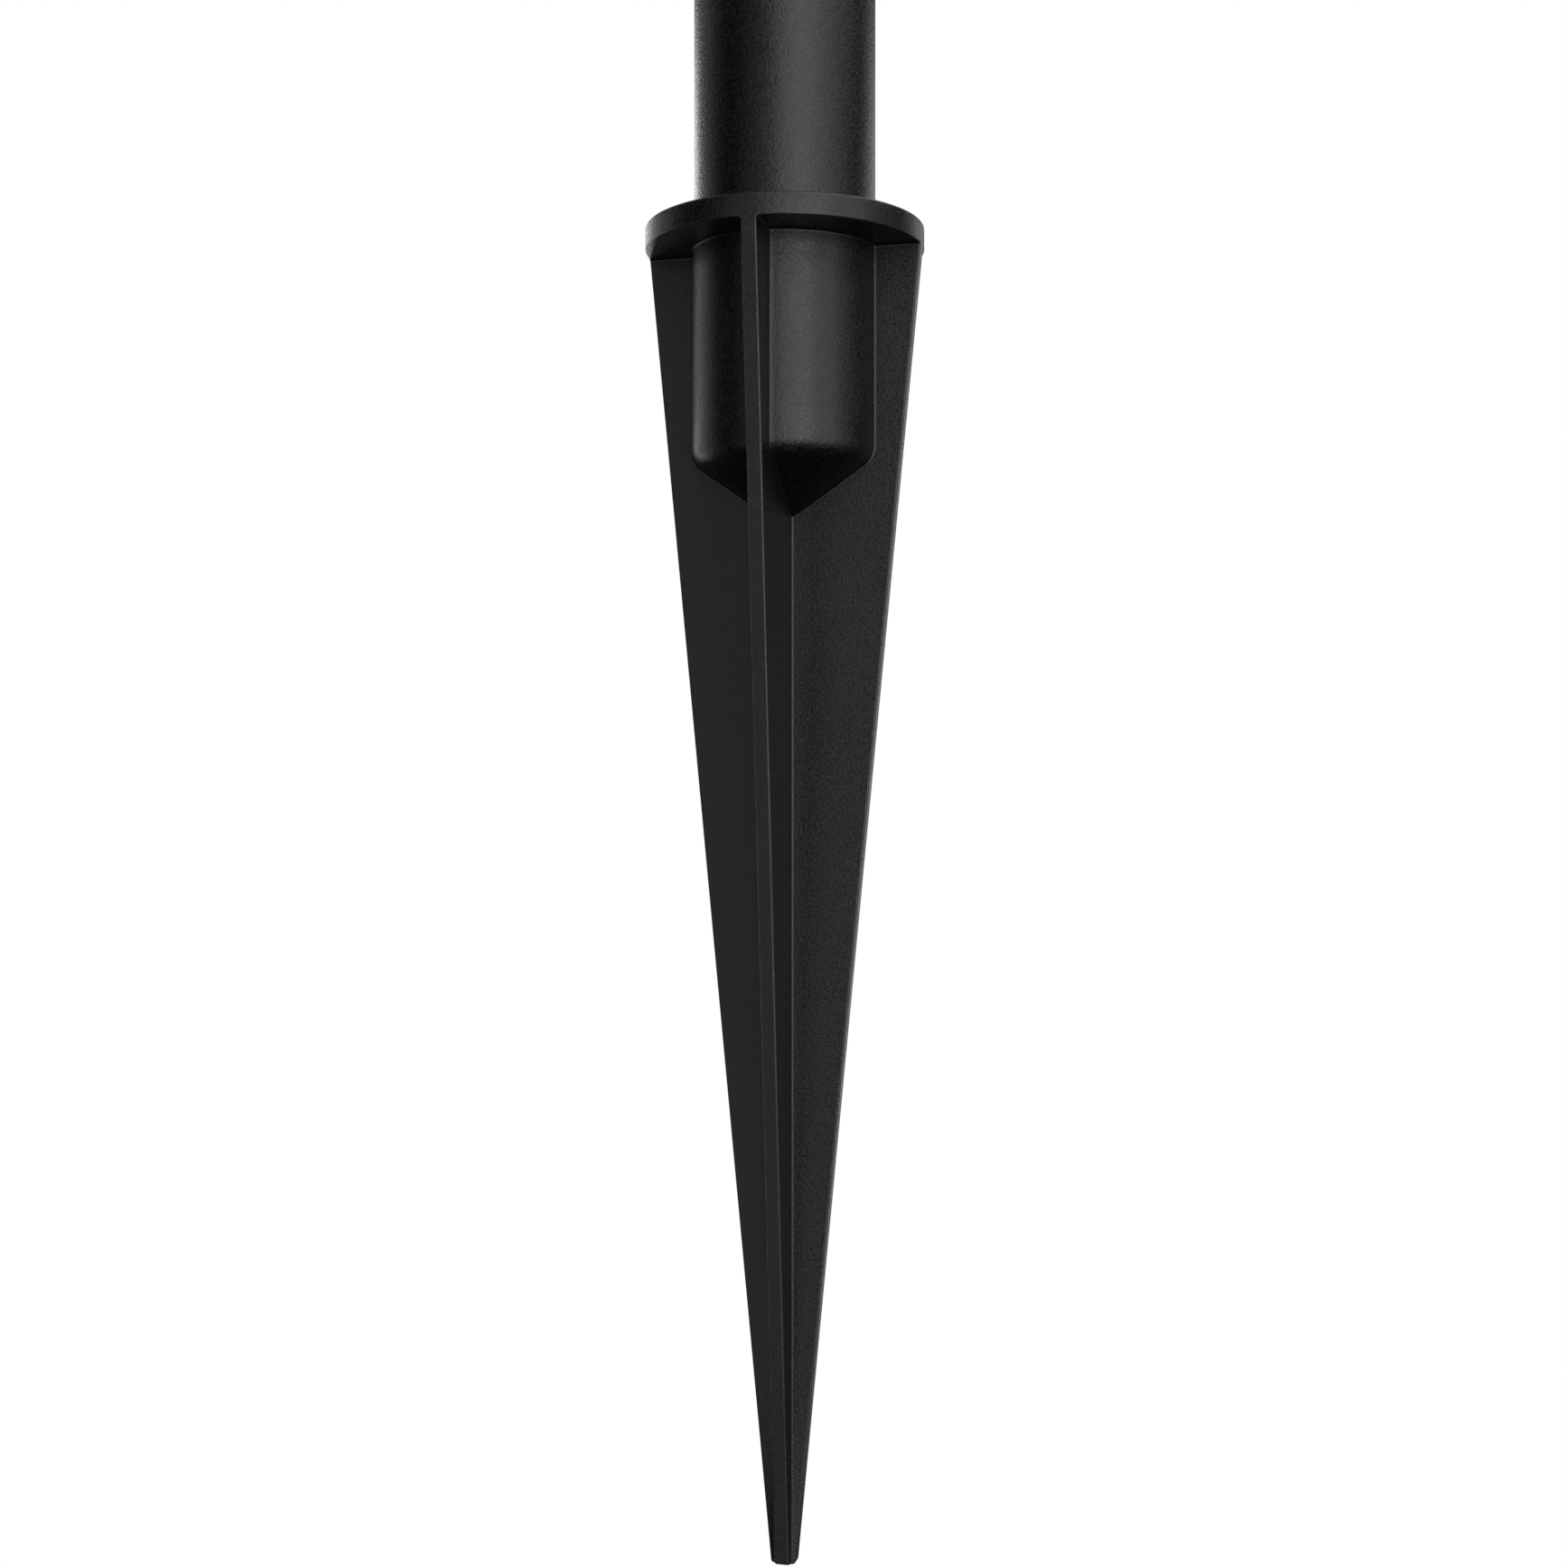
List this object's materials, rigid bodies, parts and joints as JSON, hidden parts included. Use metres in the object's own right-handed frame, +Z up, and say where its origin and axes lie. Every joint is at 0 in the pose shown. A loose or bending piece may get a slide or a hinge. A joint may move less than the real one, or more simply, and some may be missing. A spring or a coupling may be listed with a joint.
{
  "type": "ground spike with post",
  "caption": "Moulded ground spike with crossed tapering blades and a round stop flange, whose cup holds a lift-out, turning tube post on a hidden spigot.",
  "frame": {"origin": "bottom centre of the blunt tip, on the spike's axis", "axes": "+Z up along the spike and the post; the four blades lie along +X, -X, +Y and -Y; -Y is the front"},
  "size_m": [0.06, 0.06, 0.3882],
  "materials": {
    "spike_plastic": "black moulded plastic with a fine matt texture",
    "tube_coat": "black powder coat, fine matt grain",
    "spigot_plastic": "black moulded plastic, smoother than the spike",
    "rubber": "black, dull",
    "screw_steel": "plain stainless steel"
  },
  "bodies": {
    "spike": {"ground_spike": "spike_plastic"},
    "seat": {"seat_washer": "rubber"},
    "post": {"post_tube": "tube_coat", "spigot": "spigot_plastic", "socket_o_ring": "rubber", "retaining_screw_left": "screw_steel", "retaining_screw_right": "screw_steel"}
  },
  "joints": [
    {"name": "post_turn", "type": "hinge", "parent": "spike", "child": "seat", "pos_m": [0, 0, 0.2868], "axis": [0, 0, 1], "continuous": true},
    {"name": "post_lift", "type": "slide", "parent": "seat", "child": "post", "axis": [0, 0, 1], "range_m": [0, 0.05]}
  ]
}
